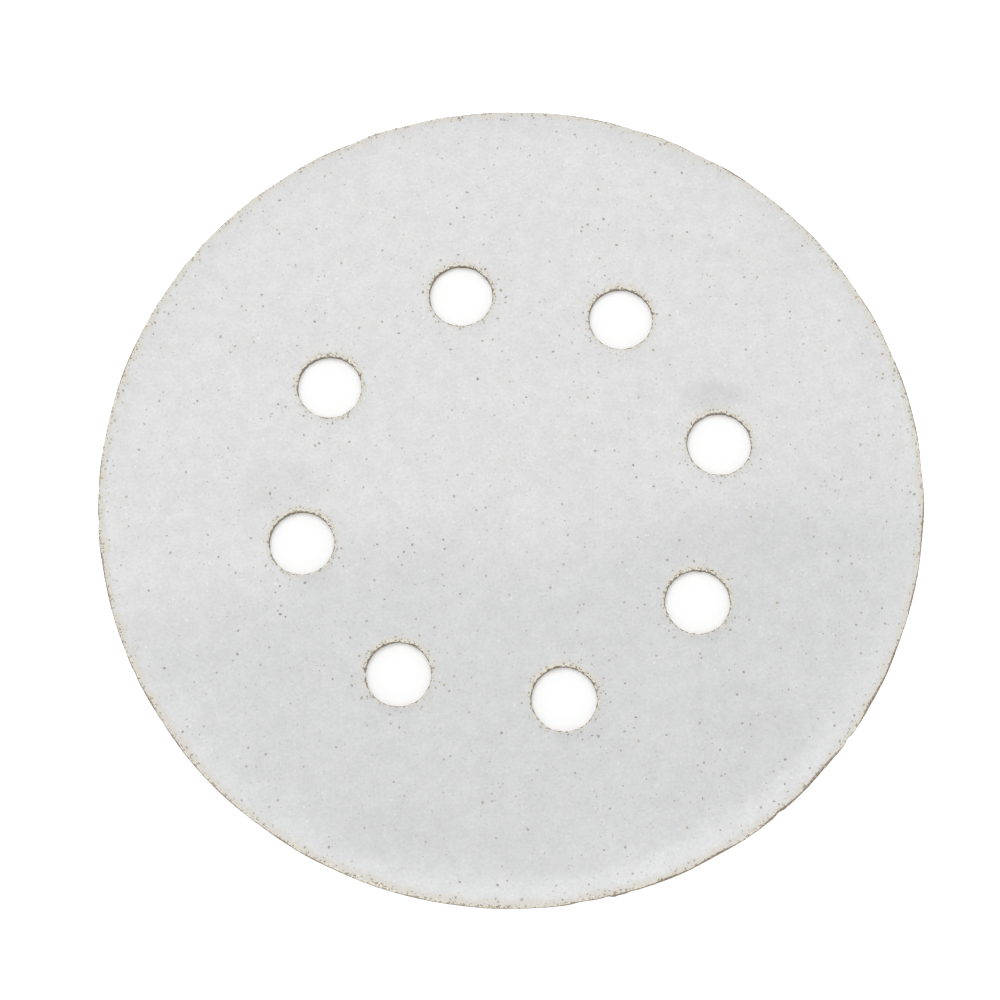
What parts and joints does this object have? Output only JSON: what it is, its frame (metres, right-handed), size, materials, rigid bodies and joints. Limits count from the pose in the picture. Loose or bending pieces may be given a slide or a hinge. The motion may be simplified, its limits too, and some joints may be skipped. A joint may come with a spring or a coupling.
{
  "type": "self-adhesive sanding disc",
  "caption": "Round self-adhesive sanding disc of coated abrasive paper with a ring of dust extraction holes, lying abrasive face up on its release liner",
  "frame": {"origin": "centre of the disc, on the surface that it lies on, at the underside of the release liner", "axes": "+Z out of the abrasive face, +X through the middle of one extraction hole, +Y square to both"},
  "size_m": [0.125, 0.125, 0.0014],
  "materials": {
    "abrasive_sheet": "matte",
    "liner_paper": "satin"
  },
  "bodies": {
    "root": {"abrasive_disc": "abrasive_sheet", "release_liner": "liner_paper"}
  },
  "joints": []
}
